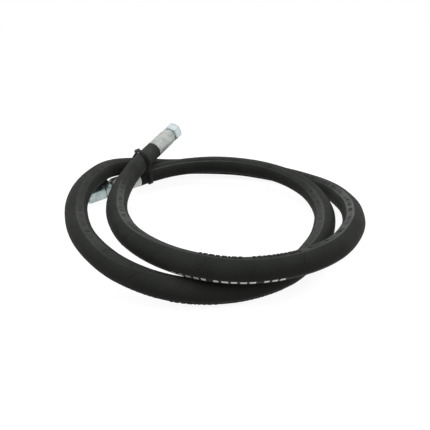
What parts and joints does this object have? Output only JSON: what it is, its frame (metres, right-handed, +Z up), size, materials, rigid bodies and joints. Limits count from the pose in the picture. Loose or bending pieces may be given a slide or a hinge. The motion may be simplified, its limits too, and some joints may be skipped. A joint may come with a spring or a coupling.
{
  "type": "hydraulic hose assembly",
  "caption": "Black rubber hydraulic hose wound in loose turns and bundled by a cable tie, with a crimped ferrule, nipple and swivel nut on each end.",
  "frame": {"origin": "centre of the coil's footprint, on the ground that the hose lies on", "axes": "+Z up, +Y away from the picture's viewer and along the coil's longer side, +X to the viewer's right"},
  "size_m": [0.3257, 0.3471, 0.0786],
  "materials": {
    "cover_rubber": "matt, wrapped impression",
    "tube_rubber": "smooth",
    "braid_wire": "brass-coated steel wire",
    "satin_zinc": "satin zinc plate",
    "bright_zinc": "bright zinc plate",
    "spring_steel": "bright",
    "nylon": "satin"
  },
  "bodies": {
    "hose": {"hose_cover": "cover_rubber", "outer_braid": "braid_wire", "inner_braid": "braid_wire", "inner_tube": "tube_rubber", "ferrule_a": "satin_zinc", "ferrule_b": "satin_zinc", "nipple_a": "bright_zinc", "nipple_b": "bright_zinc", "thrust_wire_a": "spring_steel", "thrust_wire_b": "spring_steel", "cable_tie": "nylon"},
    "nut_a": {"nut_a": "bright_zinc"},
    "nut_b": {"nut_b": "bright_zinc"}
  },
  "joints": [
    {"name": "nut_a_spin", "type": "hinge", "parent": "hose", "child": "nut_a", "pos_m": [-0.05545, 0.16009, 0.06462], "axis": [0.486, 0.8238, 0.292], "continuous": true},
    {"name": "nut_b_spin", "type": "hinge", "parent": "hose", "child": "nut_b", "pos_m": [-0.14908, 0.06294, 0.01392], "axis": [-0.824, -0.5553, -0.1129], "continuous": true}
  ]
}
